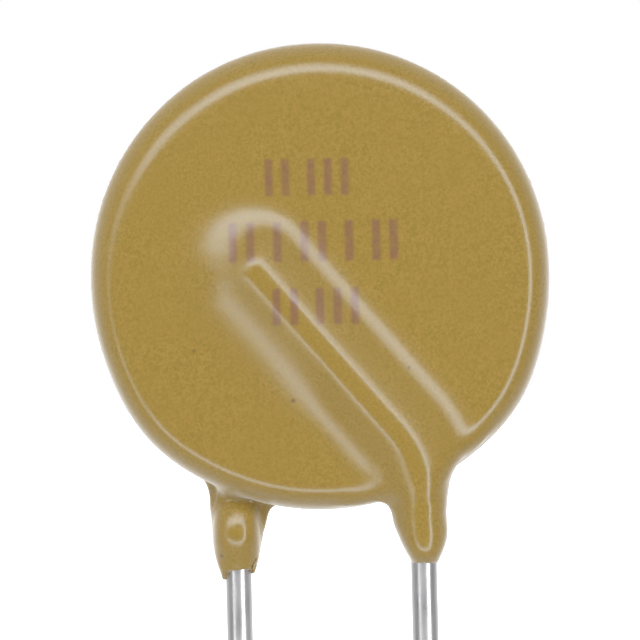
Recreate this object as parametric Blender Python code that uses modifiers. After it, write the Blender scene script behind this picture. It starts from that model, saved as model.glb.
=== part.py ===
"""Radial-leaded resettable fuse: a round polymer chip between two foils, a lead wire soldered
across each foil, and a dipped epoxy coat over the whole chip and the tops of the leads.

The fuse stands upright as it does on a circuit board. X runs along the row of its two leads, Y
runs through its thickness with the front face towards -Y, and Z is up. The origin lies midway
between the leads at the seating plane, where the lowest of the coat meets the board.
"""

import math

import bmesh
import bpy
import numpy as np
from mathutils import Matrix, Vector

MM = 0.001

# Chip
CHIP_RADIUS = 5.75 * MM
POLYMER_THICKNESS = 0.50 * MM
FOIL_THICKNESS = 0.05 * MM
CHIP_OFFSET = -0.10 * MM
CHIP_HEIGHT = 8.33 * MM

# Leads: each rises from below the board, bends once and runs straight across its foil
LEAD_DIAMETER = 0.70 * MM
LEAD_PITCH = 5.10 * MM
LEAD_BELOW_SEAT = 7.60 * MM
BEND_RADIUS = 3.00 * MM
BEND_START = 2.13 * MM
TIP_ACROSS = 2.02 * MM
TIP_HEIGHT = 8.635 * MM

# Solder along the straight run of each lead
SOLDER_LENGTH = 5.20 * MM
SOLDER_BEYOND_TIP = 0.20 * MM
SOLDER_BASE_WIDTH = 1.50 * MM
SOLDER_TOP_WIDTH = 0.50 * MM
SOLDER_OVER_LEAD = 0.09 * MM
SOLDER_BESIDE_LEAD = 0.12 * MM
SOLDER_TOE = 0.12 * MM

# Coat on the chip
COAT_ON_FACE = 0.46 * MM
COAT_AT_SIDES = 0.54 * MM
COAT_AT_TOP = 0.63 * MM
EDGE_RADIUS = 0.75 * MM
SAG_DEPTH = 0.132 * MM
SAG_SPREAD = math.radians(15.0)
RIGHT_SAG_ANGLE = math.radians(-34.0)
LEFT_SAG_ANGLE = math.radians(-138.0)

# Mound of coat over each lead, as a section square to the lead
COAT_OVER_LEAD = 0.41 * MM
MOUND_CREST_RADIUS = 0.40 * MM
MOUND_OUTER_SLOPE = math.radians(30.5)
MOUND_INNER_SLOPE = math.radians(32.0)
MOUND_OUTER_FILLET = 0.30 * MM
MOUND_INNER_FILLET = 0.50 * MM
MOUND_HALF_WIDTH = 1.60 * MM
MOUND_SIDE_BLEND = 0.40 * MM
MOUND_TOP_BLEND = 0.14 * MM
MOUND_FADE_INSIDE_RIM = 0.55 * MM
MOUND_FADE_PAST_RIM = 1.00 * MM

# Coated legs
LEG_COAT = 0.31 * MM
LEG_INNER_COAT = 0.12 * MM
LEG_DROP = 0.28 * MM
LEG_DROP_HEIGHT = 1.26 * MM
LEG_DROP_LENGTH = 0.655 * MM
LEG_FILLET = 0.95 * MM
LEG_FILLET_INSIDE_RIM = 0.30 * MM
LEG_FILLET_PAST_RIM = 0.70 * MM
LEG_SIDE_BLEND = 0.50 * MM
LEG_TOP_BLEND = 1.00 * MM
LEG_TAPER = 0.90 * MM
FRONT_COAT_END = 0.40 * MM
REAR_COAT_END = 0.06 * MM
COAT_LIP = 0.05 * MM

# Fits
CLEARANCE = 0.02 * MM

# Mesh
CHIP_SIDES = 96
BEND_STEPS = 10
WIRE_RESOLUTION = 8
COARSE_VOXEL = 0.17 * MM
FINE_VOXEL = 0.13 * MM
COAT_TRIANGLES = 7500
SETTLE_STEPS = 14
SETTLE_PROBE = 0.002 * MM
SETTLE_LONGEST = 0.12 * MM
STUB = 0.50 * MM

# Worked out from the sizes above
LEAD_RADIUS = LEAD_DIAMETER / 2
FOIL_FACE = POLYMER_THICKNESS / 2 + CLEARANCE + FOIL_THICKNESS
LEAD_PLANE = FOIL_FACE + CLEARANCE + LEAD_RADIUS
COAT_FACE = FOIL_FACE + COAT_ON_FACE
COAT_HALF_WIDTH = CHIP_RADIUS + COAT_AT_SIDES
COAT_HALF_HEIGHT = CHIP_RADIUS + COAT_AT_TOP
LEAD_X = LEAD_PITCH / 2
CREST = LEAD_RADIUS + COAT_OVER_LEAD
LEG_RADIUS = LEAD_RADIUS + LEG_COAT
LIP_RADIUS = LEAD_RADIUS + CLEARANCE + COAT_LIP
FADE_START = CHIP_RADIUS - MOUND_FADE_INSIDE_RIM
FADE_END = CHIP_RADIUS + MOUND_FADE_PAST_RIM

COAT_COLOUR = (0.38, 0.26, 0.065)
TIN_COLOUR = (0.62, 0.62, 0.63)
SOLDER_COLOUR = (0.50, 0.50, 0.52)
FOIL_COLOUR = (0.58, 0.56, 0.52)
POLYMER_COLOUR = (0.02, 0.02, 0.02)


def clear_scene():
    """Remove every object that the file opened with."""
    for item in list(bpy.data.objects):
        bpy.data.objects.remove(item, do_unlink=True)


def new_collection(name):
    """Add a collection to the scene."""
    collection = bpy.data.collections.new(name)
    bpy.context.scene.collection.children.link(collection)
    return collection


def new_material(name, colour, roughness, metallic):
    """Make a plain Principled material."""
    material = bpy.data.materials.new(name)
    material.use_nodes = True
    shader = material.node_tree.nodes["Principled BSDF"]
    shader.inputs["Base Color"].default_value = (*colour, 1.0)
    shader.inputs["Roughness"].default_value = roughness
    shader.inputs["Metallic"].default_value = metallic
    return material


def new_object(name, data, collection, material=None):
    """Put a mesh or curve in the scene, in one collection, with one material."""
    item = bpy.data.objects.new(name, data)
    collection.objects.link(item)
    if material is not None:
        data.materials.clear()
        data.materials.append(material)
    return item


def applied_mesh(item):
    """Return an object's evaluated mesh in world space, with its loose caps welded."""
    depsgraph = bpy.context.evaluated_depsgraph_get()
    mesh = bpy.data.meshes.new_from_object(item.evaluated_get(depsgraph))
    mesh.transform(item.matrix_world)
    work = bmesh.new()
    work.from_mesh(mesh)
    bmesh.ops.remove_doubles(work, verts=work.verts, dist=1e-8)
    bmesh.ops.recalc_face_normals(work, faces=work.faces)
    work.to_mesh(mesh)
    work.free()
    return mesh


def bake(item, name, collection, material=None):
    """Replace an object by its evaluated mesh and remove the original."""
    bpy.context.view_layer.update()
    mesh = applied_mesh(item)
    mesh.name = name
    bpy.data.objects.remove(item, do_unlink=True)
    return new_object(name, mesh, collection, material)


def shade_round(item, sharp_degrees=40.0):
    """Shade smooth, with the real edges kept sharp."""
    item.data.shade_smooth()
    item.data.set_sharp_from_angle(angle=math.radians(sharp_degrees))


def as_cutter(item):
    """Show a tool solid as a wire and keep it out of renders."""
    item.hide_render = True
    item.display_type = "WIRE"
    return item


def half_turn(points):
    """Turn points by half a turn about Z, which takes the front lead to the rear lead."""
    return [Vector((-p.x, -p.y, p.z)) for p in points]


# Lead route


def bend_geometry():
    """Return the bend's centre and its angle, so that the straight run ends at the tip."""
    centre = Vector((LEAD_X - BEND_RADIUS, 0.0, BEND_START))
    reach = Vector((-TIP_ACROSS, 0.0, TIP_HEIGHT)) - centre
    heading = math.atan2(reach.z, reach.x)
    angle = heading - math.acos(BEND_RADIUS / reach.length)
    run = math.sqrt(reach.length ** 2 - BEND_RADIUS ** 2)
    return centre, angle, run


BEND_CENTRE, BEND_ANGLE, RUN_LENGTH = bend_geometry()
RUN_DIRECTION = Vector((-math.sin(BEND_ANGLE), 0.0, math.cos(BEND_ANGLE)))
RUN_ACROSS = Vector((math.cos(BEND_ANGLE), 0.0, math.sin(BEND_ANGLE)))
RUN_START = BEND_CENTRE + RUN_ACROSS * BEND_RADIUS


def lead_route(bottom, beyond_tip=0.0):
    """Centre line of the front lead, from a height up to its tip on the chip."""
    points = [Vector((LEAD_X, 0.0, bottom))]
    for step in range(BEND_STEPS + 1):
        angle = BEND_ANGLE * step / BEND_STEPS
        points.append(BEND_CENTRE + Vector((math.cos(angle), 0.0, math.sin(angle))) * BEND_RADIUS)
    points.append(RUN_START + RUN_DIRECTION * (RUN_LENGTH + beyond_tip))
    for point in points:
        point.y = -LEAD_PLANE
    return points


def round_wire(name, points, radius, collection, material=None):
    """Round bar along a line of points, as one closed mesh."""
    data = bpy.data.curves.new(name, "CURVE")
    data.dimensions = "3D"
    data.bevel_depth = radius
    data.bevel_resolution = WIRE_RESOLUTION
    data.use_fill_caps = True
    spline = data.splines.new("POLY")
    spline.points.add(len(points) - 1)
    for target, point in zip(spline.points, points):
        target.co = (*point, 1.0)
    item = new_object(name + "_line", data, collection)
    return bake(item, name, collection, material)


# Chip


def chip_disc(name, radius, thickness, middle, collection, material=None):
    """Flat disc across Y, centred on the chip's axis."""
    bpy.ops.mesh.primitive_cylinder_add(
        vertices=CHIP_SIDES, radius=radius, depth=thickness,
        location=(CHIP_OFFSET, middle, CHIP_HEIGHT), rotation=(math.pi / 2, 0.0, 0.0))
    item = bpy.context.object
    for owner in list(item.users_collection):
        owner.objects.unlink(item)
    collection.objects.link(item)
    item.name = name
    item.data.name = name
    if material is not None:
        item.data.materials.append(material)
    return item


# Solder


def solder_section(grow):
    """Section of the solder square to the lead: wide on the foil, narrow over the wire.

    The height is measured outwards from the lead's centre line. grow widens the section on
    every side, for the pocket that the coat keeps round the solder.
    """
    foot = -LEAD_RADIUS - grow
    top = LEAD_RADIUS + SOLDER_OVER_LEAD + grow
    right = [
        (SOLDER_BASE_WIDTH / 2 + grow, foot),
        (SOLDER_BASE_WIDTH / 2 + grow, SOLDER_TOE - LEAD_RADIUS),
        (LEAD_RADIUS + SOLDER_BESIDE_LEAD + grow, 0.0),
        (SOLDER_TOP_WIDTH / 2 + grow, top),
    ]
    left = [(-across, height) for across, height in reversed(right)]
    return right + left


def solder_block(name, grow, turned, collection, material=None):
    """Solder or its pocket: the section drawn out along the lead's straight run."""
    data = bpy.data.curves.new(name, "CURVE")
    data.dimensions = "2D"
    data.fill_mode = "BOTH"
    data.extrude = SOLDER_LENGTH / 2 + grow
    section = solder_section(grow)
    spline = data.splines.new("POLY")
    spline.points.add(len(section) - 1)
    for target, (across, height) in zip(spline.points, section):
        target.co = (across, height, 0.0, 1.0)
    spline.use_cyclic_u = True
    item = new_object(name + "_outline", data, collection)
    middle = RUN_LENGTH + SOLDER_BEYOND_TIP - SOLDER_LENGTH / 2
    place = RUN_START + RUN_DIRECTION * middle
    place.y = -LEAD_PLANE
    outwards = Vector((0.0, -1.0, 0.0))
    frame = Matrix.Identity(4)
    frame.col[0] = (*RUN_ACROSS, 0.0)
    frame.col[1] = (*outwards, 0.0)
    frame.col[2] = (*RUN_ACROSS.cross(outwards), 0.0)
    frame.col[3] = (*place, 1.0)
    if turned:
        frame = Matrix.Rotation(math.pi, 4, "Z") @ frame
    item.matrix_world = frame
    return bake(item, name, collection, material)


# Shape of the coat


def smooth_step(value, low, high):
    """Rise smoothly from 0 at low to 1 at high."""
    share = np.clip((value - low) / (high - low), 0.0, 1.0)
    return share * share * (3.0 - 2.0 * share)


def smooth_min(first, second, width):
    """Smaller of two distances, with a fillet where they differ by less than width."""
    overlap = np.maximum(width - np.abs(first - second), 0.0) / width
    return np.minimum(first, second) - overlap * overlap * width / 4.0


def disc_distance(x, y, z):
    """Distance to the coated disc: an oval with a round edge and two low sags on its rim."""
    across = x - CHIP_OFFSET
    up = z - CHIP_HEIGHT
    radius = np.hypot(across, up)
    angle = np.arctan2(up, across)
    stretch = np.hypot(COAT_HALF_HEIGHT * across, COAT_HALF_WIDTH * up) + 1e-12
    rim = COAT_HALF_WIDTH * COAT_HALF_HEIGHT * radius / stretch
    for sag_angle in (RIGHT_SAG_ANGLE, LEFT_SAG_ANGLE):
        rim = rim + SAG_DEPTH * np.exp(-((angle - sag_angle) / SAG_SPREAD) ** 2)
    past_rim = radius - (rim - EDGE_RADIUS)
    past_face = np.abs(y) - (COAT_FACE - EDGE_RADIUS)
    outside = np.hypot(np.maximum(past_rim, 0.0), np.maximum(past_face, 0.0))
    inside = np.minimum(np.maximum(past_rim, past_face), 0.0)
    return outside + inside - EDGE_RADIUS


def lead_offsets(x, z):
    """Distance across the front lead's centre line, and distance beyond its tip."""
    from_bend_x = x - BEND_CENTRE.x
    from_bend_z = z - BEND_CENTRE.z
    on_bend = np.hypot(from_bend_x, from_bend_z) - BEND_RADIUS
    on_run = from_bend_x * RUN_ACROSS.x + from_bend_z * RUN_ACROSS.z - BEND_RADIUS
    along_run = from_bend_x * RUN_DIRECTION.x + from_bend_z * RUN_DIRECTION.z
    straight = (from_bend_z >= 0.0) & (along_run > 0.0)
    across = np.where(from_bend_z < 0.0, x - LEAD_X, np.where(straight, on_run, on_bend))
    beyond = np.where(straight, np.maximum(along_run - RUN_LENGTH, 0.0), 0.0)
    return across, beyond


def sleeve_distance(x, y, z, from_centre, coat_end):
    """Distance to the coat round the front lead, and the fillet width where it joins the disc.

    On the chip its section is a low mound: two straight slopes that meet in a round crest. On
    the leg it is a tube. Its inner side, towards the other lead's plane, is thin above and
    below one long drop.
    """
    across, beyond = lead_offsets(x, z)
    reach = np.hypot(across, beyond)
    out = -(y + LEAD_PLANE)
    side = smooth_step(across, -MOUND_SIDE_BLEND, MOUND_SIDE_BLEND)

    slope = MOUND_INNER_SLOPE + (MOUND_OUTER_SLOPE - MOUND_INNER_SLOPE) * side
    run_off = np.hypot(reach, MOUND_CREST_RADIUS) - MOUND_CREST_RADIUS
    mound = run_off * np.sin(slope) + (out - CREST) * np.cos(slope)

    half_width = MOUND_HALF_WIDTH * smooth_step(-from_centre, -FADE_END, -FADE_START)
    crest_room = CREST + COAT_LIP
    on_disc = smooth_step(-from_centre, -FADE_END - LEG_TOP_BLEND, -FADE_END)
    outer = LEG_RADIUS + (crest_room - LEG_RADIUS) * on_disc
    thin = LEAD_RADIUS + LEG_INNER_COAT
    drop = LEG_DROP * np.exp(-((z - LEG_DROP_HEIGHT) / LEG_DROP_LENGTH) ** 4)
    under_disc = smooth_step(-from_centre, -FADE_START - LEG_TOP_BLEND, -FADE_START)
    inner = thin + drop + (crest_room - thin) * under_disc

    taper = np.clip((z - coat_end) / LEG_TAPER, 0.0, 1.0)
    filled = 1.0 - (1.0 - taper) ** 2
    facing = smooth_step(out, -LEG_SIDE_BLEND, 0.0)
    depth = LIP_RADIUS + (inner + (outer - inner) * facing - LIP_RADIUS) * filled
    width = LIP_RADIUS + (outer - LIP_RADIUS) * filled
    tube = np.hypot(np.maximum(reach - half_width, 0.0), out * width / depth) - width
    sleeve = -smooth_min(-mound, -tube, MOUND_TOP_BLEND)

    fillet = MOUND_INNER_FILLET + (MOUND_OUTER_FILLET - MOUND_INNER_FILLET) * side
    past_rim = smooth_step(from_centre, COAT_HALF_WIDTH - LEG_FILLET_INSIDE_RIM,
                           COAT_HALF_WIDTH + LEG_FILLET_PAST_RIM)
    behind = smooth_step(-out, 0.0, LEG_SIDE_BLEND)
    fillet = fillet + (LEG_FILLET - fillet) * np.maximum(past_rim, behind)
    return np.maximum(sleeve, coat_end - STUB - z), fillet


def coat_distance(x, y, z):
    """Distance to the coat's outer surface, negative inside it."""
    from_centre = np.hypot(x - CHIP_OFFSET, z - CHIP_HEIGHT)
    coat = disc_distance(x, y, z)
    front, front_fillet = sleeve_distance(x, y, z, from_centre, FRONT_COAT_END)
    coat = smooth_min(coat, front, front_fillet)
    rear, rear_fillet = sleeve_distance(-x, -y, z, from_centre, REAR_COAT_END)
    return smooth_min(coat, rear, rear_fillet)


def settle_on_coat(mesh):
    """Move every vertex along the distance's slope until it lies on the coat's surface."""
    flat = np.empty(len(mesh.vertices) * 3)
    mesh.vertices.foreach_get("co", flat)
    points = flat.reshape(-1, 3)
    for _ in range(SETTLE_STEPS):
        distance = coat_distance(*points.T)
        slope = np.empty_like(points)
        for axis in range(3):
            shift = np.zeros(3)
            shift[axis] = SETTLE_PROBE
            ahead = coat_distance(*(points + shift).T)
            behind = coat_distance(*(points - shift).T)
            slope[:, axis] = (ahead - behind) / (2.0 * SETTLE_PROBE)
        steepness = np.maximum((slope ** 2).sum(axis=1), 0.04)
        move = slope * (distance / steepness)[:, None]
        length = np.linalg.norm(move, axis=1)
        move *= np.minimum(1.0, SETTLE_LONGEST / np.maximum(length, 1e-12))[:, None]
        points = points - move
    mesh.vertices.foreach_set("co", points.ravel())
    mesh.update()


def remeshed(item, voxel, name, collection):
    """Cover a closed object with an even skin and settle that skin on the coat."""
    remesh = item.modifiers.new("skin", "REMESH")
    remesh.mode = "VOXEL"
    remesh.voxel_size = voxel
    skin = bake(item, name, collection)
    settle_on_coat(skin.data)
    return skin


def coat_solid(tools, collection, material):
    """Outer form of the coat, before anything is hollowed out of it."""
    blank = chip_disc("coat_blank", COAT_HALF_WIDTH, 2 * COAT_FACE, 0.0, tools)
    front_line = lead_route(FRONT_COAT_END - STUB)
    rear_line = half_turn(lead_route(REAR_COAT_END - STUB))
    sleeves = [round_wire("front_sleeve", front_line, LEG_RADIUS, tools),
               round_wire("rear_sleeve", rear_line, LEG_RADIUS, tools)]
    for sleeve in sleeves:
        union = blank.modifiers.new(sleeve.name, "BOOLEAN")
        union.operation = "UNION"
        union.object = sleeve
    rough = remeshed(blank, COARSE_VOXEL, "coat_skin", tools)
    for sleeve in sleeves:
        bpy.data.objects.remove(sleeve, do_unlink=True)
    coat = remeshed(rough, FINE_VOXEL, "epoxy_coating", collection)
    coat.data.materials.append(material)
    thin_out = coat.modifiers.new("fewer faces", "DECIMATE")
    thin_out.ratio = COAT_TRIANGLES / (2.0 * len(coat.data.polygons))
    return coat


def end_trim(name, x, y, coat_end, tools):
    """Block whose top face trims the coat square at its lower end."""
    side = 4.0 * LEG_RADIUS
    height = 4.0 * STUB
    bpy.ops.mesh.primitive_cube_add(size=1.0, location=(x, y, coat_end - height / 2))
    item = bpy.context.object
    for owner in list(item.users_collection):
        owner.objects.unlink(item)
    tools.objects.link(item)
    item.name = name
    item.scale = (side, side, height)
    return as_cutter(item)


def hollow(coat, tools):
    """Cut the room for the chip, the solder and the leads, and trim the coat's two ends."""
    cutters = []
    pocket = 2.0 * (FOIL_FACE + CLEARANCE)
    cutters.append(chip_disc("chip_room", CHIP_RADIUS + CLEARANCE, pocket, 0.0, tools))
    route = lead_route(REAR_COAT_END - 2.0 * STUB, CLEARANCE)
    room = LEAD_RADIUS + CLEARANCE
    cutters.append(round_wire("front_lead_room", route, room, tools))
    cutters.append(round_wire("rear_lead_room", half_turn(route), room, tools))
    cutters.append(solder_block("front_solder_room", CLEARANCE, False, tools))
    cutters.append(solder_block("rear_solder_room", CLEARANCE, True, tools))
    cutters.append(end_trim("front_end_trim", LEAD_X, -LEAD_PLANE, FRONT_COAT_END, tools))
    cutters.append(end_trim("rear_end_trim", -LEAD_X, LEAD_PLANE, REAR_COAT_END, tools))
    for cutter in cutters:
        as_cutter(cutter)
        cut = coat.modifiers.new(cutter.name, "BOOLEAN")
        cut.operation = "DIFFERENCE"
        cut.object = cutter


def solder_with_channel(name, turned, room, collection, material):
    """Solder with the lead's channel cut along it, open under the wire."""
    item = solder_block(name, 0.0, turned, collection, material)
    cut = item.modifiers.new("lead channel", "BOOLEAN")
    cut.operation = "DIFFERENCE"
    cut.object = room
    return item


def build():
    """Model the fuse."""
    clear_scene()
    parts = new_collection("resettable_fuse")
    tools = new_collection("cutters")

    epoxy = new_material("ochre_epoxy", COAT_COLOUR, 0.38, 0.0)
    tinned = new_material("tinned_wire", TIN_COLOUR, 0.25, 1.0)
    solder = new_material("solder", SOLDER_COLOUR, 0.35, 1.0)
    foil = new_material("nickel_foil", FOIL_COLOUR, 0.40, 1.0)
    polymer = new_material("black_polymer", POLYMER_COLOUR, 0.60, 0.0)

    chip_disc("polymer_disc", CHIP_RADIUS, POLYMER_THICKNESS, 0.0, parts, polymer)
    foil_middle = FOIL_FACE - FOIL_THICKNESS / 2
    chip_disc("front_foil", CHIP_RADIUS, FOIL_THICKNESS, -foil_middle, parts, foil)
    chip_disc("rear_foil", CHIP_RADIUS, FOIL_THICKNESS, foil_middle, parts, foil)

    route = lead_route(-LEAD_BELOW_SEAT)
    round_wire("front_lead", route, LEAD_RADIUS, parts, tinned)
    round_wire("rear_lead", half_turn(route), LEAD_RADIUS, parts, tinned)

    coat = coat_solid(tools, parts, epoxy)
    hollow(coat, tools)
    front_room = bpy.data.objects["front_lead_room"]
    rear_room = bpy.data.objects["rear_lead_room"]
    solder_with_channel("front_solder", False, front_room, parts, solder)
    solder_with_channel("rear_solder", True, rear_room, parts, solder)

    bpy.context.view_layer.update()
    for item in parts.objects:
        shade_round(item)


build()
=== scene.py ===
"""Looks of a radial-leaded resettable fuse: a dipped ochre epoxy coat over a round chip, with two
tinned wire leads, in soft studio light.

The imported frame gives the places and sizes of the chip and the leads. The coat's own sizes are
named below. Everything is in metres in the frame's axes: X along the row of leads, Y through the
thickness with the front face towards -Y, Z up, and the origin midway between the leads at the
seating plane.
"""

from collections import namedtuple
import math

import bpy
import numpy as np
from mathutils import Matrix, Vector


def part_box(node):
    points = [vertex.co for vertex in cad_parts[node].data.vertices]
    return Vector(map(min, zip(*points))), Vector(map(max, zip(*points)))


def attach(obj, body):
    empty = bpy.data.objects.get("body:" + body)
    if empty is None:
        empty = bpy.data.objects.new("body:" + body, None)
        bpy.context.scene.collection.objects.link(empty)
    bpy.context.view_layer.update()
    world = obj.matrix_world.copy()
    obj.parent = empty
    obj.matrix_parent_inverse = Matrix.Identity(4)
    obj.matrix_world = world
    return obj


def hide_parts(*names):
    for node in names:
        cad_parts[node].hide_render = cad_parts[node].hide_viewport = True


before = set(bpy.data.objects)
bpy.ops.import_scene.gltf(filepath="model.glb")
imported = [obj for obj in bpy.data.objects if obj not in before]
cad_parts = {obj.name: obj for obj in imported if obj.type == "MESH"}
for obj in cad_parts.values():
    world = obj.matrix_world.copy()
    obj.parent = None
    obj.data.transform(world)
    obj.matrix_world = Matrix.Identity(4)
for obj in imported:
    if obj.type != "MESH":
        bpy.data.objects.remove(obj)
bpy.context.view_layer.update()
ROOT = "root"
MM = 0.001

# Read from the frame
CHIP_LOW, CHIP_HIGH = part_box("polymer_disc")
FOIL_LOW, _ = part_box("front_foil")
LEAD_LOW, LEAD_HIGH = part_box("front_lead")
CHIP_X = (CHIP_LOW.x + CHIP_HIGH.x) / 2
CHIP_Z = (CHIP_LOW.z + CHIP_HIGH.z) / 2
CHIP_RADIUS = (CHIP_HIGH.x - CHIP_LOW.x) / 2
FOIL_FACE = -FOIL_LOW.y
LEAD_RADIUS = (LEAD_HIGH.y - LEAD_LOW.y) / 2
LEAD_PLANE = -(LEAD_LOW.y + LEAD_HIGH.y) / 2
LEAD_X = LEAD_HIGH.x - LEAD_RADIUS
LEAD_FOOT = LEAD_LOW.z

# Lead route, as in the part: up, one bend, then straight across the foil to the tip
BEND_RADIUS = 3.00 * MM
BEND_START = 2.13 * MM
TIP_ACROSS = 2.02 * MM
TIP_HEIGHT = 8.635 * MM
LEAD_SIDES = 64
LEAD_STEP = 0.10 * MM
CUT_EDGE = 0.04 * MM

# Coat on the chip
COAT_ON_FACE = 0.46 * MM
COAT_AT_SIDES = 0.585 * MM
COAT_AT_TOP = 0.702 * MM
RIM_SQUARENESS = 2.035
EDGE_DEPTH = 0.95 * MM
SHOULDER_AT_SIDES = 0.74 * MM
SHOULDER_AT_TOP = 1.05 * MM
TOP_ROLL = 0.10 * MM
TOP_ROLL_WIDTH = 1.80 * MM
TOP_ANGLE = math.radians(100.0)
TOP_SPREAD = math.radians(75.0)
THIN_BESIDE_LEAD = 0.06 * MM
THIN_BLEND = 2.50 * MM
SAG_DEPTH = 0.12 * MM
SAG_SPREAD = math.radians(15.4)
RIGHT_SAG_ANGLE = math.radians(-34.7)
LEFT_SAG_ANGLE = math.radians(-137.1)

# Mound of coat over each lead, as a section square to the lead
COAT_OVER_LEAD = 0.46 * MM
MOUND_CREST_RADIUS = 0.29 * MM
MOUND_OUTER_SLOPE = math.radians(29.5)
MOUND_UPPER_SLOPE = math.radians(36.5)
MOUND_LOWER_SLOPE = math.radians(33.0)
MOUND_OUTER_FILLET = 0.26 * MM
MOUND_UPPER_FILLET = 0.88 * MM
MOUND_LOWER_FILLET = 0.42 * MM
MOUND_CHANGE_START = 2.40 * MM
MOUND_CHANGE_END = 4.60 * MM
MOUND_TIP_SETBACK = 0.25 * MM
MOUND_INSIDE_RIM = 0.15 * MM
MOUND_ROOT = 0.25 * MM
MOUND_CORNER = 1.0 * MM
MOUND_SIDE_TURN = math.radians(70.0)
MOUND_TOP_BLEND = 0.45 * MM

# Coated legs. The inner side faces the plane of the other lead
LEG_CREST_RADIUS = 0.24 * MM
LEG_CREST_ROOM = 0.12 * MM
LEG_INNER_COAT = 0.04 * MM
LEG_DROP = 0.52 * MM
LEG_DROP_HEIGHT = 1.27 * MM
LEG_DROP_LENGTH = 0.84 * MM
DROP_BACK_SLOPE = 1.50
DROP_BACK_RADIUS = 1.50 * MM
LEG_SQUARENESS = 2.35
LEG_FILLET = 1.55 * MM
SADDLE_HEIGHT = 2.13 * MM
SADDLE_FOOT = 0.02 * MM
SADDLE_SLOPE = 1.18
SADDLE_INSIDE_RIM = 0.55 * MM
SADDLE_FULL = 0.18 * MM
SADDLE_FILLET = 0.22 * MM
SADDLE_BLEND = 0.70 * MM
LEG_FILLET_REACH = 2.60 * MM
LEG_FILLET_INSIDE_RIM = 0.20 * MM
LEG_FILLET_PAST_RIM = 0.80 * MM
LEG_SIDE_BLEND = 0.50 * MM
LEG_TOP_BLEND = 0.90 * MM
LEG_END_ROUNDING = 0.66 * MM
LEG_END_CURVE = 1.25
LEG_WIDTH_HEIGHT = 1.15 * MM
LEG_SLANT_TOP = 2.20 * MM
COAT_LIP = 0.05 * MM

# Each leg's half widths away from the chip's middle and towards it, and how they change with
# height. Its lower edge has a height at each of some turns round the lead, from the inner side
CoatedLeg = namedtuple("CoatedLeg", "outer outer_slant inner inner_slant lip taper "
                                    "edge_turns edge_heights")
FRONT_LEG = CoatedLeg(
    outer=0.715 * MM, outer_slant=-0.17, inner=0.70 * MM, inner_slant=-0.09,
    lip=0.005 * MM, taper=1.10 * MM,
    edge_turns=np.radians([-180, 180]),
    edge_heights=np.array([0.40, 0.40]) * MM,
)
REAR_LEG = CoatedLeg(
    outer=0.755 * MM, outer_slant=-0.15, inner=0.70 * MM, inner_slant=-0.17,
    lip=0.08 * MM, taper=1.82 * MM,
    edge_turns=np.radians([-180, -140, -110, -85, -72, -60, -54, -50, -44, -36,
                           -16, 0, 34, 48, 62, 78, 92, 110, 135, 160]),
    edge_heights=np.array([0.20, 0.16, 0.24, 0.30, 0.22, 0.10, 0.55, 0.62, 0.34, 0.27,
                           0.29, 0.26, 0.25, 0.16, 0.06, -0.02, 0.02, 0.20, 0.24, 0.14]) * MM,
)

# Skin, and how its points settle onto the form
SKIN_PITCH = 0.068 * MM
SKIN_MARGIN = 0.30 * MM
SETTLE_STEPS = 12
SETTLE_PROBE = 0.002 * MM
SETTLE_LONGEST = 0.06 * MM
LEAST_STEEPNESS = 0.04
LEAST_SLOPE = 1e-9
TINY = 1e-12

# Worked out from the sizes above
COAT_FACE = FOIL_FACE + COAT_ON_FACE
COAT_HALF_WIDTH = CHIP_RADIUS + COAT_AT_SIDES
COAT_HALF_HEIGHT = CHIP_RADIUS + COAT_AT_TOP
CREST = LEAD_RADIUS + COAT_OVER_LEAD

# Ochre epoxy: waves or cells to the millimetre, and lengths
EPOXY_OCHRE = (0.282, 0.184, 0.029)
EPOXY_LIGHT = (0.321, 0.209, 0.038)
EPOXY_DEEP = (0.243, 0.161, 0.021)
EPOXY_RED = (0.325, 0.183, 0.036)
SPECK_BROWN = (0.120, 0.070, 0.022)
GRAIN_PER_MM = 12.0
CLOUDS_PER_MM = 0.9
WARMTH_PER_MM = 8.0
SPECKS_PER_MM = 0.55
SPECK_CORE = 0.020
SPECK_RIM = 0.045
SPECK_SHARE = 0.75
ORANGE_PEEL_PER_MM = 5.0
ORANGE_PEEL_HEIGHT = 0.004 * MM
EPOXY_ROUGHNESS = (0.21, 0.27)
EPOXY_INDEX = 1.65
EPOXY_BLOOM = 0.41
EPOXY_SHINE = (0.70, 0.83, 1.0, 1.0)

# Ink, in millimetres: each row's height, bar height, bar centres and half a bar's width
INK_BROWN = (0.215, 0.108, 0.052)
INK_EDGE = 0.045
INK_PER_MM = 9.0
INK_SHARE = (0.62, 0.95)
INK_FRONT = (-0.4, -0.3)
INK_ROWS = (
    (11.02, 1.00, (-1.44, -0.98, -0.28, 0.18, 0.64), 0.105),
    (9.26, 1.10, (-2.46, -1.98, -1.24, -0.50, -0.02, 0.72, 1.46, 1.94), 0.115),
    (7.48, 1.00, (-1.30, -0.82, -0.12, 0.36, 0.84), 0.11),
)

# Tin on the wires
TIN_LIGHT = (0.82, 0.82, 0.83)
TIN_DARK = (0.62, 0.62, 0.63)
TIN_EDGE = (0.62, 0.62, 0.62, 1.0)
TIN_ROUGHNESS = (0.27, 0.36)
STREAKS_PER_MM = 7.0
STREAK_STRETCH = (1.0, 1.0, 0.06)
STREAK_HEIGHT = 0.004 * MM
PATCHES_PER_MM = 2.2
PATCH_STRETCH = (1.0, 1.0, 0.5)

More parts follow.
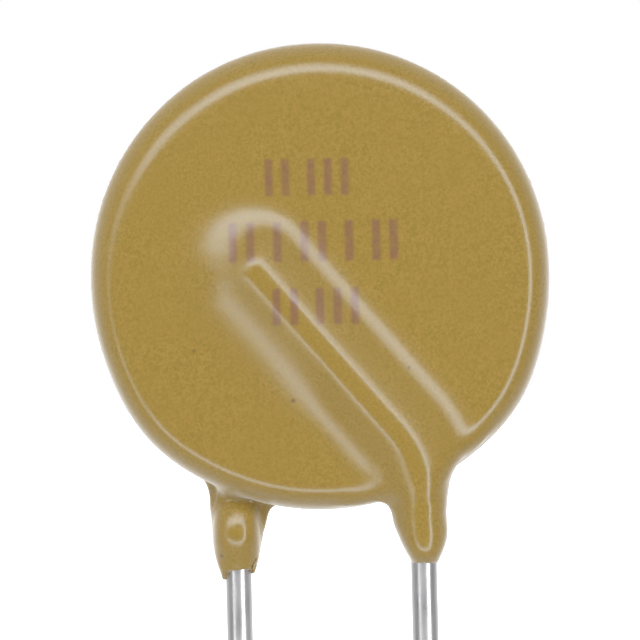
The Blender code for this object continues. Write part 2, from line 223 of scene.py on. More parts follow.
# Pieces inside the coat: name, two colours, metallic, roughness and waves to the millimetre
HIDDEN_FINISHES = (
    ("polymer_disc", (0.012, 0.012, 0.013), (0.030, 0.030, 0.031), 0.0, 0.62, 14.0),
    ("front_foil", (0.60, 0.60, 0.58), (0.74, 0.74, 0.72), 1.0, 0.34, 10.0),
    ("rear_foil", (0.60, 0.60, 0.58), (0.74, 0.74, 0.72), 1.0, 0.34, 10.0),
    ("front_solder", (0.52, 0.53, 0.55), (0.70, 0.71, 0.73), 1.0, 0.26, 4.0),
    ("rear_solder", (0.52, 0.53, 0.55), (0.70, 0.71, 0.73), 1.0, 0.26, 4.0),
)
HIDDEN_ROUGHNESS_RANGE = 0.06
HIDDEN_GRAIN_HEIGHT = 0.006 * MM

# Photograph: how much of the object each pixel covers, and how the object leans in it
PHOTO_SIDE = 640
PIXEL = 0.02751 * MM
ORIGIN_COLUMN = 331
ORIGIN_ROW = 578
LEAN = math.radians(1.4)
CAMERA_DISTANCE = 0.120
SENSOR = 36.0
CLIP_NEAR = CAMERA_DISTANCE / 50
CLIP_FAR = 10.0

# Ring of lamps: radiance, angle off the camera's line of sight and apparent width of each,
# from the right anticlockwise as the camera sees them
RING_LEVELS = (6.5, 5.4, 5.0, 5.2, 5.2, 5.1, 4.3, 1.9, 1.4, 2.7, 4.4, 4.8, 4.8, 5.3, 5.8, 6.3)
RING_TILTS = np.radians([38, 40, 40, 40, 39, 38, 42, 48, 52, 48, 42, 40, 40, 40, 39, 38])
RING_WIDTHS = np.radians([12, 14, 18, 21, 23, 25, 23, 18, 12, 12, 12, 12, 12, 12, 12, 12])
RING_DISTANCE = 0.20

# Surroundings: grey levels from in front of the object, at 0, to behind it, at 1
DIFFUSE_TONES = ((0.24, 0.0), (0.42, 0.40), (0.60, 1.32))
GLOSS_TONES = ((0.02, 0.30), (0.18, 0.12), (0.28, 0.14), (0.38, 0.30), (0.52, 0.38), (0.62, 0.42),
               (0.72, 0.60), (0.82, 0.95), (0.98, 1.10))
TONE_RANGE = 2.5
LEFT_FILL = 0.34
LEFT_FILL_START = 0.2
LOW_GLOSS = 0.45
LOW_GLOSS_START = -0.3
WHITE = (1.0, 1.0, 1.0)

# Floor
FLOOR_RADIUS = 0.6
FLOOR_SIDES = 96
FLOOR_GREY = 0.8
FLOOR_ROUGHNESS = 0.9
FLOOR_GLOW = 0.75


# Meshes


def mesh_piece(name, points, quads, material, caps=()):
    """Put points, smooth quads and flat end caps into a mesh piece."""
    mesh = bpy.data.meshes.new(name)
    mesh.from_pydata(points.tolist(), [], quads.tolist() + [cap.tolist() for cap in caps])
    mesh.validate()
    smooth = np.ones(len(mesh.polygons), dtype=bool)
    smooth[len(quads):] = False
    mesh.polygons.foreach_set("use_smooth", smooth)
    mesh.update()
    mesh.materials.append(material)
    piece = bpy.data.objects.new(name, mesh)
    bpy.context.scene.collection.objects.link(piece)
    return piece


def smooth_step(value, low, high):
    """Rise smoothly from 0 at low to 1 at high: 3t^2 - 2t^3 of the share of the way."""
    share = np.clip((value - low) / (high - low), 0.0, 1.0)
    return share * share * (3.0 - 2.0 * share)


def blend(first, second, share):
    """First value at a share of 0, second at a share of 1, and straight between."""
    return first + (second - first) * share


def smooth_min(first, second, width):
    """Smaller of two distances, less a parabola where they differ by under the fillet's width."""
    overlap = np.maximum(width - np.abs(first - second), 0.0) / width
    return np.minimum(first, second) - overlap * overlap * width / 4.0


# Lead route


def bend_geometry():
    """The bend is an arc that leaves the vertical leg and touches the straight line to the tip.

    Its angle is the heading of the tip from the arc's centre, less the angle whose cosine is the
    bend's radius over the tip's distance.
    """
    centre = Vector((LEAD_X - BEND_RADIUS, 0.0, BEND_START))
    reach = Vector((-TIP_ACROSS, 0.0, TIP_HEIGHT)) - centre
    heading = math.atan2(reach.z, reach.x)
    angle = heading - math.acos(BEND_RADIUS / reach.length)
    run = math.sqrt(reach.length ** 2 - BEND_RADIUS ** 2)
    return centre, angle, run


BEND_CENTRE, BEND_ANGLE, RUN_LENGTH = bend_geometry()
RUN_DIRECTION = Vector((-math.sin(BEND_ANGLE), 0.0, math.cos(BEND_ANGLE)))
RUN_ACROSS = Vector((math.cos(BEND_ANGLE), 0.0, math.sin(BEND_ANGLE)))


# Shape of the coat


def rim_offset(x, z):
    """Distance past the coated disc's outline, and the angle round its middle.

    The outline is a slightly squared oval, whose two shares of its half sizes, each to one
    power, add up to 1. Two low sags are added to it as bell curves of the angle.
    """
    across = x - CHIP_X
    up = z - CHIP_Z
    radius = np.hypot(across, up)
    angle = np.arctan2(up, across)
    stretch = (np.abs(COAT_HALF_HEIGHT * across) ** RIM_SQUARENESS
               + np.abs(COAT_HALF_WIDTH * up) ** RIM_SQUARENESS) ** (1.0 / RIM_SQUARENESS)
    rim = COAT_HALF_WIDTH * COAT_HALF_HEIGHT * radius / (stretch + TINY)
    for sag_angle in (RIGHT_SAG_ANGLE, LEFT_SAG_ANGLE):
        rim = rim + SAG_DEPTH * np.exp(-((angle - sag_angle) / SAG_SPREAD) ** 2)
    return radius - rim, angle


def disc_distance(x, y, z, past_rim, angle):
    """Distance to the coated disc, whose edge is rounded as a quarter of an ellipse.

    The rounding is wider over the top, where the face also falls away a little, as a parabola.
    The face is a little lower on the side of the lead that faces away from the chip's middle.
    """
    turn = np.arctan2(np.sin(angle - TOP_ANGLE), np.cos(angle - TOP_ANGLE))
    upper = np.exp(-(turn / TOP_SPREAD) ** 4)
    shoulder = blend(SHOULDER_AT_SIDES, SHOULDER_AT_TOP, upper)
    near_rim = np.clip(past_rim / TOP_ROLL_WIDTH + 1.0, 0.0, 1.0)
    own_x = np.where(y < 0.0, x, -x)
    past_lead = ((own_x - BEND_CENTRE.x) * RUN_ACROSS.x + (z - BEND_CENTRE.z) * RUN_ACROSS.z
                 - BEND_RADIUS)
    face = COAT_FACE - TOP_ROLL * upper * near_rim ** 2
    face = face - THIN_BESIDE_LEAD * smooth_step(past_lead, -THIN_BLEND, THIN_BLEND)
    over_rim = np.maximum(past_rim + shoulder, 0.0)
    over_face = np.maximum(np.abs(y) - face + EDGE_DEPTH, 0.0)
    scaled = np.hypot(over_rim / shoulder, over_face / EDGE_DEPTH)
    slope = np.hypot(over_rim / shoulder ** 2, over_face / EDGE_DEPTH ** 2)
    outside = scaled * (scaled - 1.0) / np.maximum(slope, LEAST_SLOPE)
    inside = np.maximum(past_rim, np.abs(y) - face)
    return np.where(scaled > 0.0, outside, inside)


def lead_offsets(x, z):
    """Distances across the front lead's centre line, past its mound's end and short of its tip."""
    from_bend_x = x - BEND_CENTRE.x
    from_bend_z = z - BEND_CENTRE.z
    on_bend = np.hypot(from_bend_x, from_bend_z) - BEND_RADIUS
    on_run = from_bend_x * RUN_ACROSS.x + from_bend_z * RUN_ACROSS.z - BEND_RADIUS
    along_run = from_bend_x * RUN_DIRECTION.x + from_bend_z * RUN_DIRECTION.z
    straight = (from_bend_z >= 0.0) & (along_run > 0.0)
    across = np.where(from_bend_z < 0.0, x - LEAD_X, np.where(straight, on_run, on_bend))
    before_tip = RUN_LENGTH - along_run
    beyond = np.where(straight, np.maximum(MOUND_TIP_SETBACK - before_tip, 0.0), 0.0)
    return across, beyond, before_tip


def mound_roof(off_crest, out, on_disc, side, lower):
    """Distance above the mound: two slopes that meet in a round crest over the lead.

    The run down from the crest is the cube root of the sum of the cubes of the distance off
    the crest and the crest's radius, less that radius.
    """
    flank = blend(MOUND_UPPER_SLOPE, MOUND_LOWER_SLOPE, lower)
    slope = blend(flank, MOUND_OUTER_SLOPE, side)
    radius = blend(LEG_CREST_RADIUS, MOUND_CREST_RADIUS, on_disc)
    run = (off_crest ** 3 + radius ** 3) ** (1 / 3) - radius
    return run * np.sin(slope) + (out - CREST) * np.cos(slope)


def inner_depth(z, past_rim):
    """Depth of the coat on the leg's inner side, from the lead's centre.

    It is thin but for one long drop, a bell curve below its fullest point and a hyperbola
    above it, and a straight climb under the chip as a saddle. Both fade out inside the rim.
    """
    from_drop = z - LEG_DROP_HEIGHT
    bell = LEG_DROP * np.exp(-(from_drop / LEG_DROP_LENGTH) ** 2)
    fall = DROP_BACK_SLOPE * (np.hypot(from_drop, DROP_BACK_RADIUS) - DROP_BACK_RADIUS)
    drop = np.where(from_drop < 0.0, bell, LEG_DROP - fall)
    saddle = SADDLE_FOOT + SADDLE_SLOPE * (z - SADDLE_HEIGHT)
    near_rim = smooth_step(past_rim, -SADDLE_INSIDE_RIM, -SADDLE_FULL)
    return LEAD_RADIUS + LEG_INNER_COAT + near_rim * np.maximum(drop, saddle)


def leg_tube(z, out, off_crest, facing, inner, leg_width, leg):
    """Distance to the leg's tube, a squared oval that draws in to a lip at its lower end.

    The distance off the crest and the distance out, stretched to the tube's width over its
    depth, are added by one power, and the width is taken away.
    """
    lip_radius = LEAD_RADIUS + leg.lip
    above_edge = z - leg.edge_heights.min()
    rounding = 1.0 - (1.0 - np.clip(above_edge / LEG_END_ROUNDING, 0.0, 1.0)) ** 2
    outer = blend(lip_radius, CREST + LEG_CREST_ROOM, rounding)
    depth = blend(inner, outer, facing)
    rise = np.clip(above_edge / leg.taper, 0.0, 1.0) ** LEG_END_CURVE
    width = blend(lip_radius, leg_width, 1.0 - (1.0 - rise) ** 2)
    across_leg = off_crest ** LEG_SQUARENESS
    through_leg = np.abs(out * width / depth) ** LEG_SQUARENESS
    return (across_leg + through_leg) ** (1.0 / LEG_SQUARENESS) - width


def join_fillet(past_rim, out, off_crest, side, lower):
    """Fillet width where the coat over the lead joins the disc.

    It is one width on each side of the mound, wide where the leg leaves the rim, and narrow
    in the saddle behind the leg.
    """
    near = blend(MOUND_UPPER_FILLET, MOUND_LOWER_FILLET, lower)
    mound = blend(near, MOUND_OUTER_FILLET, side)
    at_leg = (smooth_step(past_rim, -LEG_FILLET_INSIDE_RIM, LEG_FILLET_PAST_RIM)
              * smooth_step(-off_crest, -LEG_FILLET_REACH, -LEG_FILLET_REACH / 2.0))
    behind = (smooth_step(-out, 0.0, SADDLE_BLEND)
              * smooth_step(past_rim, -LEG_FILLET_INSIDE_RIM, 0.0))
    return blend(blend(mound, LEG_FILLET, at_leg), SADDLE_FILLET, behind)


def sleeve_distance(x, y, z, past_rim, leg):
    """Distance to the coat over the front lead, and the fillet width where it joins the disc.

    It is what lies under the mound's roof and within its sides, which are the coated chip and
    the leg's tube in one, and above the leg's lower edge. That edge takes its height from
    the leg's table of turns round the lead.
    """
    across, beyond, before_tip = lead_offsets(x, z)
    out = -(y + LEAD_PLANE)
    side = smooth_step(np.arctan2(across, beyond), -MOUND_SIDE_TURN, MOUND_SIDE_TURN)
    lower = smooth_step(before_tip, MOUND_CHANGE_START, MOUND_CHANGE_END)
    on_disc = smooth_step(-past_rim, -LEG_TOP_BLEND, 0.0)
    facing = smooth_step(out, -LEG_SIDE_BLEND, 0.0)

    above = np.minimum(z, LEG_SLANT_TOP) - LEG_WIDTH_HEIGHT
    outer_width = leg.outer + leg.outer_slant * above
    inner_width = leg.inner + leg.inner_slant * above
    leg_shift = (outer_width - inner_width) / 2.0 * (1.0 - on_disc)
    off_crest = np.hypot(across - leg_shift, beyond)

    roof = mound_roof(off_crest, out, on_disc, side, lower)
    tube = leg_tube(z, out, off_crest, facing, inner_depth(z, past_rim),
                    (outer_width + inner_width) / 2.0, leg)
    on_chip = np.maximum(past_rim + MOUND_INSIDE_RIM, -out - MOUND_ROOT)
    sides = smooth_min(on_chip, tube, COAT_LIP + MOUND_CORNER * facing)
    sleeve = -smooth_min(-roof, -sides, MOUND_TOP_BLEND)
    edge_turn = np.arctan2(across, -out)
    coat_end = np.interp(edge_turn, leg.edge_turns, leg.edge_heights, period=math.tau)
    return np.maximum(sleeve, coat_end - z), join_fillet(past_rim, out, off_crest, side, lower)


def coat_distance(x, y, z):
    """Distance to the coat's outer surface, negative inside it."""
    past_rim, angle = rim_offset(x, z)
    coat = disc_distance(x, y, z, past_rim, angle)
    front, front_fillet = sleeve_distance(x, y, z, past_rim, FRONT_LEG)
    coat = smooth_min(coat, front, front_fillet)
    rear, rear_fillet = sleeve_distance(-x, -y, z, past_rim, REAR_LEG)
    return smooth_min(coat, rear, rear_fillet)


def skin(distance, low, high, pitch):
    """Closed skin of quads where a distance is nought, on a grid of cubic cells.

    A cell that the surface passes through holds one point, at the mean of the places where the
    surface crosses its edges. Each grid edge that is crossed makes one quad between the four
    cells round it, turned so that it faces the positive side.
    """
    counts = np.ceil((high - low) / pitch).astype(int) + 1
    lines = [low[axis] + pitch * np.arange(counts[axis]) for axis in range(3)]
    value = distance(*np.meshgrid(*lines, indexing="ij"))
    inside = value < 0.0
    owners = []
    crossings = []
    for axis in range(3):
        step = np.eye(3, dtype=int)[axis]
        ahead = np.roll(inside, -1, axis)
        changes = np.argwhere(inside != ahead)
        changes = changes[changes[:, axis] < counts[axis] - 1]
        first = value[tuple(changes.T)]
        second = value[tuple((changes + step).T)]
        share = first / (first - second)
        crossings.append(low + pitch * (changes + step * share[:, None]))
        over = np.eye(3, dtype=int)[(axis + 1) % 3]
        up = np.eye(3, dtype=int)[(axis + 2) % 3]
        ring = np.stack([changes, changes - over, changes - over - up, changes - up], axis=1)
        keys = np.ravel_multi_index(tuple(np.moveaxis(ring, 2, 0)), counts)
        rising = first < 0.0
        owners.append(np.where(rising[:, None], keys, keys[:, ::-1]))
    keys = np.concatenate(owners)
    crossings = np.repeat(np.concatenate(crossings), 4, axis=0)
    cells, quads = np.unique(keys, return_inverse=True)
    quads = quads.reshape(-1, 4)
    shares = np.bincount(quads.ravel(), minlength=len(cells))
    totals = [np.bincount(quads.ravel(), weights=crossings[:, axis]) for axis in range(3)]
    return np.stack(totals, axis=1) / shares[:, None], quads


def gradient(distance, points):
    """Slope of a distance at each point, from the difference a short step to either side."""
    slope = np.empty_like(points)
    for axis in range(3):
        shift = np.zeros(3)
        shift[axis] = SETTLE_PROBE
        slope[:, axis] = distance(*(points + shift).T) - distance(*(points - shift).T)
    return slope / (2.0 * SETTLE_PROBE)


def settled(distance, points):
    """Move points along the distance's slope until they lie where it is nought.

    Each step is the slope times the distance over the slope's square, held to a longest step.
    """
    for _ in range(SETTLE_STEPS):
        slope = gradient(distance, points)
        steepness = np.maximum((slope ** 2).sum(axis=1), LEAST_STEEPNESS)
        move = slope * (distance(*points.T) / steepness)[:, None]
        length = np.linalg.norm(move, axis=1)
        share = np.minimum(1.0, SETTLE_LONGEST / np.maximum(length, TINY))
        points = points - move * share[:, None]
    return points


def epoxy_coat(material):
    """The dipped coat's outer skin."""
    low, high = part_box("epoxy_coating")
    low = np.array(low) - SKIN_MARGIN
    high = np.array(high) + SKIN_MARGIN
    points, quads = skin(coat_distance, low, high, SKIN_PITCH)
    return mesh_piece("epoxy_coat", settled(coat_distance, points), quads, material)


# Leads


def tube(path, radii, sides):
    """Round bar: rings of points carried along a path in the XZ plane, and its two end caps.

    A ring's point at angle a is the path's point, plus the radius times the cosine of a across
    the path and times its sine along Y.
    """
    ahead = np.gradient(path, axis=0)
    ahead /= np.linalg.norm(ahead, axis=1)[:, None]
    across = np.stack([ahead[:, 2], np.zeros(len(path)), -ahead[:, 0]], axis=1)
    out = np.array([0.0, 1.0, 0.0])
    turn = np.arange(sides) * math.tau / sides
    ring = (np.cos(turn)[None, :, None] * across[:, None, :]
            + np.sin(turn)[None, :, None] * out[None, None, :])
    points = path[:, None, :] + radii[:, None, None] * ring
    row = np.arange(len(path) - 1)[:, None] * sides
    column = np.arange(sides)[None, :]
    following = (column + 1) % sides
    quads = np.stack([row + column, row + following, row + sides + following,
                      row + sides + column], axis=2).reshape(-1, 4)
    first_ring = np.arange(sides)
    caps = (first_ring[::-1], first_ring + (len(path) - 1) * sides)
    return points.reshape(-1, 3), quads, caps


def lead_path():
    """Centre line of the front lead from its foot to its tip: a line, an arc and a line."""
    leg = BEND_START - LEAD_FOOT
    arc = BEND_RADIUS * BEND_ANGLE
    total = leg + arc + RUN_LENGTH
    travel = np.linspace(0.0, total, int(total / LEAD_STEP) + 1)
    angle = np.clip((travel - leg) / BEND_RADIUS, 0.0, BEND_ANGLE)
    on_leg = np.minimum(travel, leg)
    on_run = np.maximum(travel - leg - arc, 0.0)
    x = BEND_CENTRE.x + BEND_RADIUS * np.cos(angle) + RUN_DIRECTION.x * on_run
    z = LEAD_FOOT + on_leg + BEND_RADIUS * np.sin(angle) + RUN_DIRECTION.z * on_run
    return np.stack([x, np.full_like(x, -LEAD_PLANE), z], axis=1)


def wire_lead(name, turned, material):
    """Tinned wire along the lead's route, with its two cut ends lightly rounded."""
    path = lead_path()
    path = np.concatenate([path[:1], path[:1] + [[0, 0, CUT_EDGE]], path[1:-1],
                           path[-1:] - np.array(RUN_DIRECTION) * CUT_EDGE, path[-1:]])
    radii = np.full(len(path), LEAD_RADIUS)
    radii[[0, -1]] -= CUT_EDGE
    points, quads, caps = tube(path, radii, LEAD_SIDES)
    if turned:
        points = points * np.array([-1.0, -1.0, 1.0])
    return mesh_piece(name, points, quads, material, caps)


# Materials


def principled(name):
    """Start a material with nodes, and return it with its node tree and shader."""
    material = bpy.data.materials.new(name)
    material.use_nodes = True
    tree = material.node_tree
    return material, tree, tree.nodes["Principled BSDF"]


def linked(tree, kind, inputs, operation=None):
    """Add a node, set its operation, and set or link each of its inputs by name or number."""
    node = tree.nodes.new(kind)
    if operation:
        node.operation = operation
    for name, value in inputs.items():
        if isinstance(value, bpy.types.NodeSocket):
            tree.links.new(value, node.inputs[name])
        else:
            node.inputs[name].default_value = value
    return node


def worked(tree, operation, first, second=0.0):
    """Result of one sum on two numbers or sockets, kept between 0 and 1."""
    node = linked(tree, "ShaderNodeMath", {0: first, 1: second}, operation)
    node.use_clamp = True
    return node.outputs[0]


def own_place(tree, stretch=(1.0, 1.0, 1.0)):
    """The piece's own coordinates, in millimetres, drawn in by a factor on each axis."""
    place = tree.nodes.new("ShaderNodeTexCoord")
    scale = tuple(factor / MM for factor in stretch)
    node = linked(tree, "ShaderNodeVectorMath", {0: place.outputs["Object"], 1: scale}, "MULTIPLY")
    return node.outputs[0]


def noise(tree, place, per_mm, detail=2.0, roughness=0.5):
    """Smooth noise with a number of waves to the millimetre."""
    node = linked(tree, "ShaderNodeTexNoise",
                  {"Vector": place, "Scale": per_mm, "Detail": detail, "Roughness": roughness})
    return node.outputs["Fac"]


def spread(tree, value, low, high, to_low, to_high):
    """Map a value's range to another range, held at both ends."""
    node = linked(tree, "ShaderNodeMapRange",
                  {"Value": value, "From Min": low, "From Max": high,
                   "To Min": to_low, "To Max": to_high})
    return node.outputs["Result"]


def mixed(tree, share, first, second):
    """Mix of two colours or sockets: the first at a share of 0, and the second at 1."""
    node = tree.nodes.new("ShaderNodeMix")
    node.data_type = "RGBA"
    for name, value in (("Factor", share), ("A", first), ("B", second)):
        if isinstance(value, bpy.types.NodeSocket):
            tree.links.new(value, node.inputs[name])
        else:
            node.inputs[name].default_value = value if name == "Factor" else (*value, 1.0)
    return node.outputs["Result"]


def surface_grain(tree, shader, height, distance, strength):
    """Bump the surface by a height from 0 to 1, over a distance in metres."""
    node = linked(tree, "ShaderNodeBump",
                  {"Height": height, "Distance": distance, "Strength": strength})
    tree.links.new(node.outputs["Normal"], shader.inputs["Normal"])


def distance_from(tree, value, centre):
    """How far a value is from a centre, to either side."""
    off = linked(tree, "ShaderNodeMath", {0: value, 1: centre}, "SUBTRACT").outputs[0]
    return linked(tree, "ShaderNodeMath", {0: off}, "ABSOLUTE").outputs[0]


def largest(tree, shares):
    """Largest of several shares."""
    total = shares[0]
    for share in shares[1:]:
        total = worked(tree, "MAXIMUM", total, share)
    return total


def soft_band(tree, value, centre, half):
    """1 within a half width of a centre and 0 outside it, with soft edges."""
    off = distance_from(tree, value, centre)
    return spread(tree, off, half - INK_EDGE, half + INK_EDGE, 1.0, 0.0)


def ink_mask(tree, place):
    """Rows of plain upright bars of ink on the front face, with soft edges and uneven ink.

    A bar's share is the product of a band across and a band up, each 1 inside and 0 outside.
    """
    parts = linked(tree, "ShaderNodeSeparateXYZ", {0: place}).outputs
    rows = []
    for height, tall, centres, half in INK_ROWS:
        bars = largest(tree, [soft_band(tree, parts["X"], centre, half) for centre in centres])
        band = soft_band(tree, parts["Z"], height, tall / 2)
        rows.append(worked(tree, "MULTIPLY", band, bars))
    front = spread(tree, parts["Y"], *INK_FRONT, 1.0, 0.0)
    printed = worked(tree, "MULTIPLY", largest(tree, rows), front)
    uneven = spread(tree, noise(tree, place, INK_PER_MM, 3.0, 0.6), 0.35, 0.62, *INK_SHARE)
    return worked(tree, "MULTIPLY", printed, uneven)


def epoxy_material():
    """Ochre dip epoxy: satin gloss, a fine grain of light and deep ochre, clouds and specks."""
    material, tree, shader = principled("ochre_dip_epoxy")
    place = own_place(tree)
    grain = noise(tree, place, GRAIN_PER_MM, 2.0, 0.7)
    clouds = noise(tree, place, CLOUDS_PER_MM, 3.0, 0.55)
    warm = noise(tree, place, WARMTH_PER_MM, 1.0)
    colour = mixed(tree, spread(tree, grain, 0.34, 0.66, 0.0, 1.0), EPOXY_DEEP, EPOXY_LIGHT)
    colour = mixed(tree, spread(tree, clouds, 0.36, 0.64, 0.0, 0.5), colour, EPOXY_OCHRE)
    colour = mixed(tree, spread(tree, warm, 0.55, 0.75, 0.0, 0.55), colour, EPOXY_RED)
    cells = linked(tree, "ShaderNodeTexVoronoi",
                   {"Vector": place, "Scale": SPECKS_PER_MM, "Randomness": 1.0})
    speck = spread(tree, cells.outputs["Distance"], SPECK_CORE, SPECK_RIM, SPECK_SHARE, 0.0)
    colour = mixed(tree, speck, colour, SPECK_BROWN)
    colour = mixed(tree, ink_mask(tree, place), colour, INK_BROWN)
    tree.links.new(colour, shader.inputs["Base Color"])
    tree.links.new(spread(tree, grain, 0.3, 0.7, *EPOXY_ROUGHNESS), shader.inputs["Roughness"])
    orange_peel = noise(tree, place, ORANGE_PEEL_PER_MM, 3.0, 0.6)
    surface_grain(tree, shader, orange_peel, ORANGE_PEEL_HEIGHT, 0.6)
    shader.inputs["IOR"].default_value = EPOXY_INDEX
    shader.inputs["Sheen Weight"].default_value = 1.0
    shader.inputs["Sheen Roughness"].default_value = EPOXY_BLOOM
    shader.inputs["Specular Tint"].default_value = EPOXY_SHINE
    return material


def tin_material():
    """Bright tinned copper wire, with fine streaks along its length from drawing and dipping."""
    material, tree, shader = principled("tinned_wire")
    streaks = noise(tree, own_place(tree, STREAK_STRETCH), STREAKS_PER_MM, 3.0, 0.6)
    patches = noise(tree, own_place(tree, PATCH_STRETCH), PATCHES_PER_MM, 2.0)
    colour = mixed(tree, spread(tree, streaks, 0.35, 0.65, 0.0, 1.0), TIN_DARK, TIN_LIGHT)
    tree.links.new(colour, shader.inputs["Base Color"])
    tree.links.new(spread(tree, patches, 0.3, 0.7, *TIN_ROUGHNESS), shader.inputs["Roughness"])
    surface_grain(tree, shader, streaks, STREAK_HEIGHT, 0.5)
    shader.inputs["Specular Tint"].default_value = TIN_EDGE
    shader.inputs["Metallic"].default_value = 1.0
    return material


def hidden_finishes():
    """Give the frame's pieces inside the coat a cloudy two-tone finish with a fine grain."""
    for node, deep, light, metallic, roughness, per_mm in HIDDEN_FINISHES:
        material, tree, shader = principled(f"{node}_finish")
        grain = noise(tree, own_place(tree), per_mm, 3.0, 0.6)
        tree.links.new(mixed(tree, spread(tree, grain, 0.3, 0.7, 0.0, 1.0), deep, light),
                       shader.inputs["Base Color"])
        tree.links.new(spread(tree, grain, 0.3, 0.7, roughness - HIDDEN_ROUGHNESS_RANGE,
                              roughness + HIDDEN_ROUGHNESS_RANGE), shader.inputs["Roughness"])
        surface_grain(tree, shader, grain, HIDDEN_GRAIN_HEIGHT, 0.5)
        shader.inputs["Metallic"].default_value = metallic
        for place in bpy.data.objects[node].material_slots:
            place.material = material


# Studio


def photo_point(column, row):
    """Place in the XZ plane that shows at a pixel of the photograph."""
    right = (column - ORIGIN_COLUMN) * PIXEL
    down = (row - ORIGIN_ROW) * PIXEL
    x = right * math.cos(LEAN) - down * math.sin(LEAN)
    z = -(right * math.sin(LEAN) + down * math.cos(LEAN))
    return x, z


def camera():
    """Long lens square to the front face, rolled by the object's lean in the photograph."""
    x, z = photo_point(PHOTO_SIDE / 2, PHOTO_SIDE / 2)
    data = bpy.data.cameras.new("camera")
    data.sensor_width = SENSOR
    data.lens = SENSOR * CAMERA_DISTANCE / (PHOTO_SIDE * PIXEL)
    data.clip_start = CLIP_NEAR
    data.clip_end = CLIP_FAR
    item = bpy.data.objects.new("camera", data)
    bpy.context.scene.collection.objects.link(item)
    right = Vector((math.cos(LEAN), 0.0, -math.sin(LEAN)))
    up = Vector((math.sin(LEAN), 0.0, math.cos(LEAN)))
    frame_axes = Matrix((right, up, right.cross(up))).transposed()
    item.matrix_world = Matrix.Translation((x, -CAMERA_DISTANCE, z)) @ frame_axes.to_4x4()
    bpy.context.scene.camera = item


def lamp_ring():
    """Ring of soft rectangular lamps round the camera's line of sight, all facing the chip.

    A lamp is as long as its share of the ring. Its power is its radiance times pi and its area.
    """
    target = Vector((CHIP_X, 0.0, CHIP_Z))
    count = len(RING_LEVELS)
    for index, (level, tilt, width) in enumerate(zip(RING_LEVELS, RING_TILTS, RING_WIDTHS)):
        turn = math.tau * index / count
        out = Vector((math.cos(turn), 0.0, math.sin(turn)))
        place = target + RING_DISTANCE * (out * math.sin(tilt) - Vector((0, math.cos(tilt), 0)))
        data = bpy.data.lights.new(f"ring_{index}", "AREA")
        data.shape = "RECTANGLE"
        data.size = math.tau * RING_DISTANCE * math.sin(tilt) / count
        data.size_y = RING_DISTANCE * width
        data.energy = level * math.pi * data.size * data.size_y
        item = bpy.data.objects.new(f"ring_{index}", data)
        bpy.context.scene.collection.objects.link(item)
        item.visible_camera = False
        back = (place - target).normalized()
        side = out.cross(Vector((0.0, 1.0, 0.0))).normalized()
        up = back.cross(side).normalized()
        axes = Matrix((side, up, back)).transposed()
        item.matrix_world = Matrix.Translation(place) @ axes.to_4x4()


def grey_ramp(tree, value, tones):
    """Grey level of a value by a list of tones, straight between them. Levels may pass 1."""
    ramp = tree.nodes.new("ShaderNodeValToRGB")
    stops = ramp.color_ramp.elements
    stops[0].position = tones[0][0]
    stops[1].position = tones[-1][0]
    while len(stops) < len(tones):
        stops.new(tones[len(stops) - 1][0])
    for stop, (place, level) in zip(stops, tones):
        stop.position = place
        stop.color = (level / TONE_RANGE, level / TONE_RANGE, level / TONE_RANGE, 1)
    tree.links.new(value, ramp.inputs["Fac"])
    scale = linked(tree, "ShaderNodeMath", {0: ramp.outputs["Color"], 1: TONE_RANGE}, "MULTIPLY")
    return scale.outputs[0]


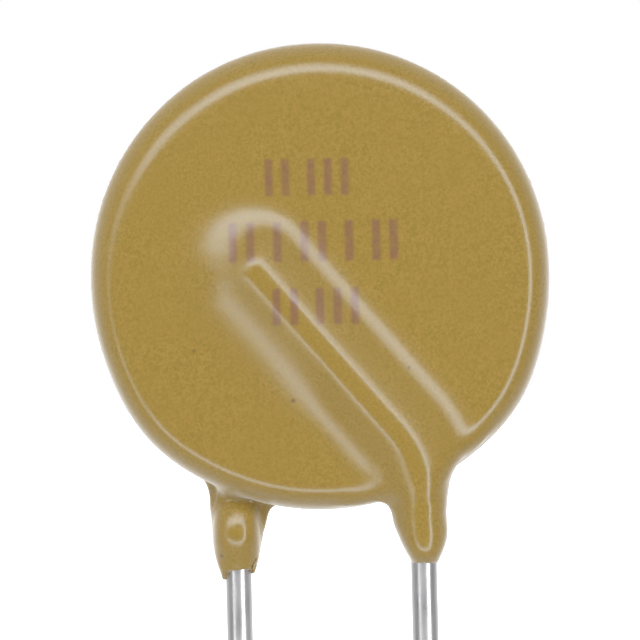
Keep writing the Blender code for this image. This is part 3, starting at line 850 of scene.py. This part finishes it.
def studio():
    """Surroundings: white to the camera, and to the object white behind and grey in front.

    Some diffuse light is added from the left, and some for reflections from below.
    """
    world = bpy.data.worlds.new("studio")
    bpy.context.scene.world = world
    world.use_nodes = True
    tree = world.node_tree
    rays = tree.nodes.new("ShaderNodeLightPath").outputs
    place = tree.nodes.new("ShaderNodeTexCoord")
    parts = linked(tree, "ShaderNodeSeparateXYZ", {0: place.outputs["Generated"]}).outputs
    backwards = spread(tree, parts["Y"], -1.0, 1.0, 0.0, 1.0)
    diffuse = grey_ramp(tree, backwards, DIFFUSE_TONES)
    gloss = grey_ramp(tree, backwards, GLOSS_TONES)
    from_left = spread(tree, parts["X"], LEFT_FILL_START, -1.0, 0.0, LEFT_FILL)
    from_below = spread(tree, parts["Z"], LOW_GLOSS_START, -1.0, 0.0, LOW_GLOSS)
    lit = linked(tree, "ShaderNodeMath", {0: diffuse, 1: from_left}, "ADD").outputs[0]
    shine = linked(tree, "ShaderNodeMath", {0: gloss, 1: from_below}, "ADD").outputs[0]
    fill = mixed(tree, rays["Is Glossy Ray"], lit, shine)
    seen = worked(tree, "MAXIMUM", rays["Is Camera Ray"], rays["Is Transmission Ray"])
    tree.links.new(mixed(tree, seen, fill, WHITE), tree.nodes["Background"].inputs["Color"])


def floor():
    """Round pale floor at the leads' feet, which throws no light or shadow on the object."""
    material, tree, shader = principled("pale_floor")
    shader.inputs["Base Color"].default_value = (FLOOR_GREY, FLOOR_GREY, FLOOR_GREY, 1)
    shader.inputs["Roughness"].default_value = FLOOR_ROUGHNESS
    shader.inputs["Emission Color"].default_value = (*WHITE, 1)
    rays = tree.nodes.new("ShaderNodeLightPath").outputs
    glow = linked(tree, "ShaderNodeMath", {0: rays["Is Camera Ray"], 1: FLOOR_GLOW}, "MULTIPLY")
    tree.links.new(glow.outputs[0], shader.inputs["Emission Strength"])
    bpy.ops.mesh.primitive_circle_add(vertices=FLOOR_SIDES, radius=FLOOR_RADIUS, fill_type="NGON",
                                      location=(0, 0, LEAD_FOOT))
    item = bpy.context.object
    item.name = "floor"
    item.data.materials.append(material)
    item.visible_glossy = False
    item.visible_diffuse = False
    item.visible_shadow = False


def build():
    """Make every piece and the studio."""
    tin = tin_material()
    coat = epoxy_coat(epoxy_material())
    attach(coat, ROOT)
    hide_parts("epoxy_coating")
    for name, turned in (("front_wire", False), ("rear_wire", True)):
        wire = wire_lead(name, turned, tin)
        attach(wire, ROOT)
        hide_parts(name.replace("wire", "lead"))
    hidden_finishes()
    camera()
    lamp_ring()
    studio()
    floor()
    bpy.context.scene.view_settings.view_transform = "Standard"


build()
